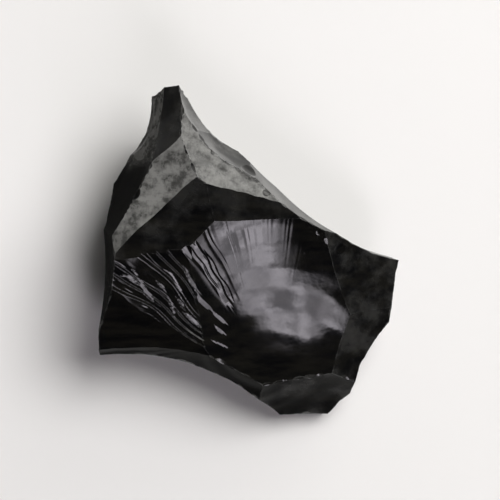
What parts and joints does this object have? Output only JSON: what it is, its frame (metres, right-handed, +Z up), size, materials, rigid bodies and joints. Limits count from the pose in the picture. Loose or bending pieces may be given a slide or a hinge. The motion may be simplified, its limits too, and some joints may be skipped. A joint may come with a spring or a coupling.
{
  "type": "obsidian chunk",
  "caption": "Rough chunk of black volcanic glass with a horn, sharp ridges and shell-shaped flake scars.",
  "frame": {"origin": "centre of the stone's bounding box, on the flat break it rests on", "axes": "+Z up, +Y from the broad foot towards the horn, +X towards the right-hand corner"},
  "size_m": [0.0396, 0.0436, 0.0203],
  "materials": {
    "obsidian": "glossy black volcanic glass, dull on the ridge band"
  },
  "bodies": {
    "root": {"obsidian_chunk": "obsidian"}
  },
  "joints": []
}
